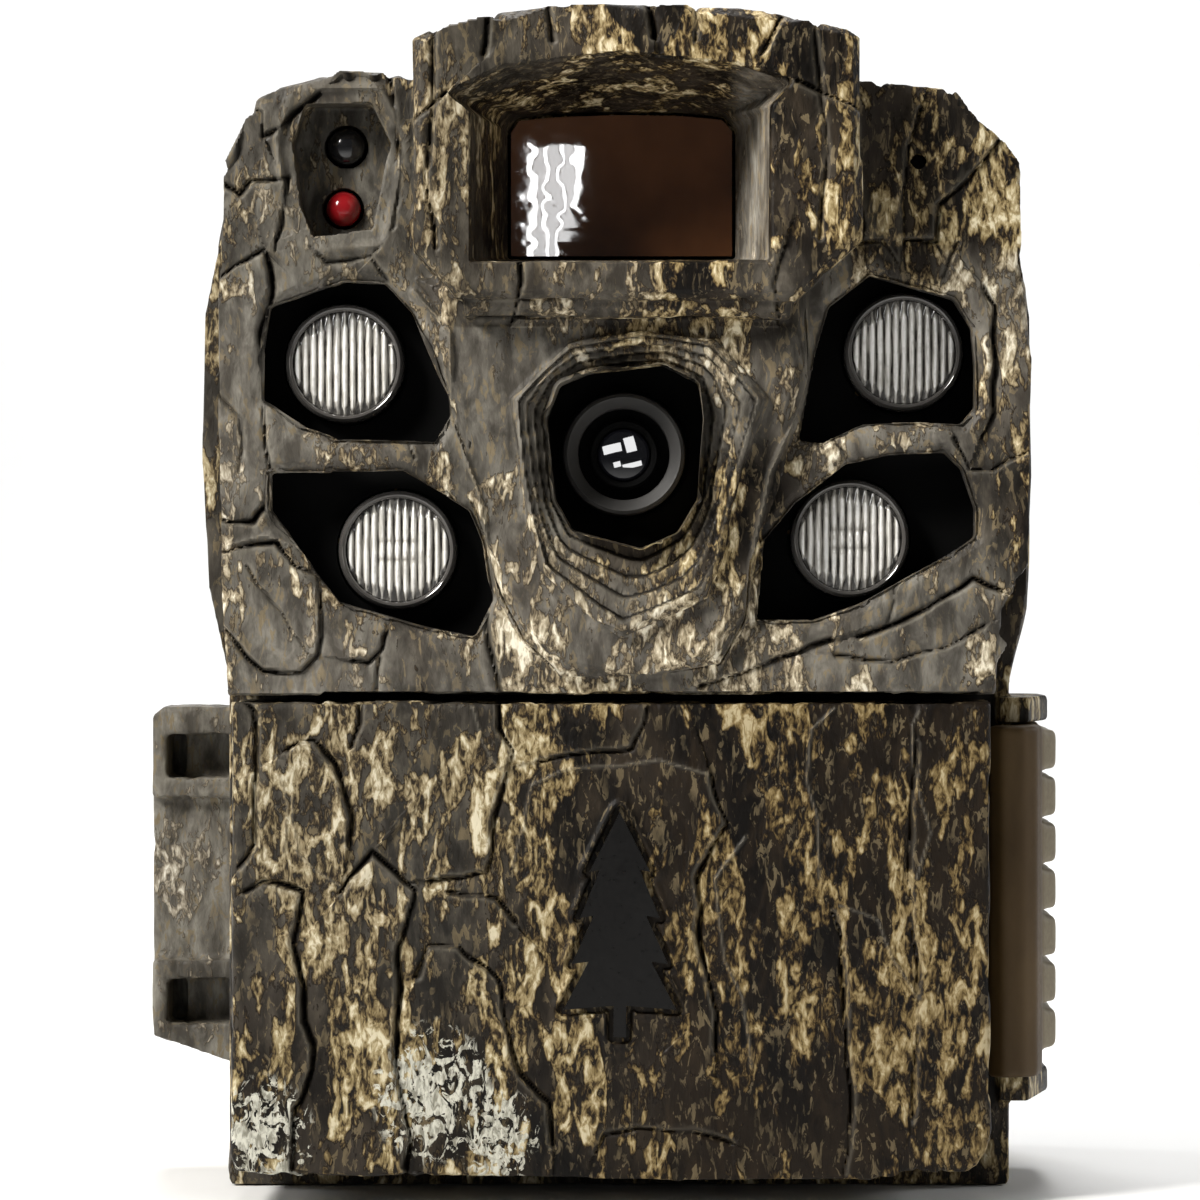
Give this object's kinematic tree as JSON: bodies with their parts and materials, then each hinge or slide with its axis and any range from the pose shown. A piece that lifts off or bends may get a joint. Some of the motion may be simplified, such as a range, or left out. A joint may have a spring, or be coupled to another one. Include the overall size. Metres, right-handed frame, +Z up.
{
  "type": "trail camera",
  "caption": "Bark-textured trail camera with a hooded motion sensor, round lamps, a fixed lens, a side-hinged door with a side latch, and a battery tray that slides out of the base.",
  "frame": {"origin": "a point on the flat base, on the vertical centre plane of the housing, 10 mm behind the plane where the door and head meet the rear housing", "axes": "+X to the right seen from the front, -Y out of the front face, +Z up"},
  "size_m": [0.0908, 0.072, 0.1141],
  "materials": {
    "bark": "moulded bark relief with a printed brown, cream and grey bark pattern",
    "black_plastic": "fine matte moulded black",
    "soft_black": "matte foam rubber",
    "tan": "satin olive brown with worn ribs",
    "glass": "clear, polished",
    "amber": "dark amber filter sheet, semi-gloss",
    "red": "tinted red, glossy",
    "chrome": "bright reflector",
    "board": "green solder mask",
    "steel": "plated",
    "brass": "turned",
    "grey": "fine matte",
    "cell": "printed plastic wrap over metal"
  },
  "bodies": {
    "housing": {"rear_housing": "bark", "tree_bracket": "bark", "head_shell": "bark", "tripod_insert": "brass", "head_gasket": "soft_black", "door_gasket": "soft_black", "inner_fascia": "black_plastic", "lens_shroud": "black_plastic", "lens_barrel": "black_plastic", "objective_lens": "glass", "camera_board": "board", "image_sensor": "black_plastic", "pir_window": "amber", "pir_sensor": "steel", "light_sensor": "black_plastic", "indicator_lens": "red", "microphone": "black_plastic", "main_board": "board", "control_panel": "black_plastic", "screen": "glass", "card_socket": "steel", "display_board": "board", "latch_pin": "steel", "contact_board": "board", "lamp_board_left": "board", "lamp_board_right": "board", "bracket_screw_1": "steel", "bracket_screw_2": "steel", "bracket_screw_3": "steel", "bracket_screw_4": "steel", "lamp_lens_upper_left": "glass", "lamp_reflector_upper_left": "chrome", "lamp_led_upper_left": "glass", "lamp_lens_lower_left": "glass", "lamp_reflector_lower_left": "chrome", "lamp_led_lower_left": "glass", "lamp_lens_upper_right": "glass", "lamp_reflector_upper_right": "chrome", "lamp_led_upper_right": "glass", "lamp_lens_lower_right": "glass", "lamp_reflector_lower_right": "chrome", "lamp_led_lower_right": "glass"},
    "door": {"front_door": "bark", "door_liner": "black_plastic", "door_emblem": "black_plastic", "hinge_pin": "steel"},
    "latch": {"latch_lever": "tan"},
    "tray": {"battery_tray": "black_plastic", "battery_1": "cell", "battery_2": "cell", "battery_3": "cell", "battery_4": "cell", "battery_5": "cell", "battery_6": "cell"},
    "button_up": {"button_up": "grey"},
    "button_down": {"button_down": "grey"},
    "button_left": {"button_left": "grey"},
    "button_right": {"button_right": "grey"},
    "button_enter": {"button_enter": "grey"},
    "mode_slider": {"mode_switch": "grey"}
  },
  "joints": [
    {"name": "door_swing", "type": "hinge", "parent": "housing", "child": "door", "pos_m": [-0.0346, -0.0136, 0.025], "axis": [0, 0, -1], "range_deg": [0, 98]},
    {"name": "latch_swing", "type": "hinge", "parent": "housing", "child": "latch", "pos_m": [0.0409, 0.0056, 0.0283], "axis": [0, 0, 1], "range_deg": [0, 95]},
    {"name": "tray_slide", "type": "slide", "parent": "housing", "child": "tray", "axis": [0, 0, -1], "range_m": [0, 0.055]},
    {"name": "press_up", "type": "slide", "parent": "housing", "child": "button_up", "axis": [0, 1, 0], "range_m": [0, 0.0007], "stiffness_N_per_m": 1500},
    {"name": "press_down", "type": "slide", "parent": "housing", "child": "button_down", "axis": [0, 1, 0], "range_m": [0, 0.0007], "stiffness_N_per_m": 1500},
    {"name": "press_left", "type": "slide", "parent": "housing", "child": "button_left", "axis": [0, 1, 0], "range_m": [0, 0.0007], "stiffness_N_per_m": 1500},
    {"name": "press_right", "type": "slide", "parent": "housing", "child": "button_right", "axis": [0, 1, 0], "range_m": [0, 0.0007], "stiffness_N_per_m": 1500},
    {"name": "press_enter", "type": "slide", "parent": "housing", "child": "button_enter", "axis": [0, 1, 0], "range_m": [0, 0.0007], "stiffness_N_per_m": 1500},
    {"name": "mode_slide", "type": "slide", "parent": "housing", "child": "mode_slider", "axis": [1, 0, 0], "range_m": [0, 0.005]}
  ]
}
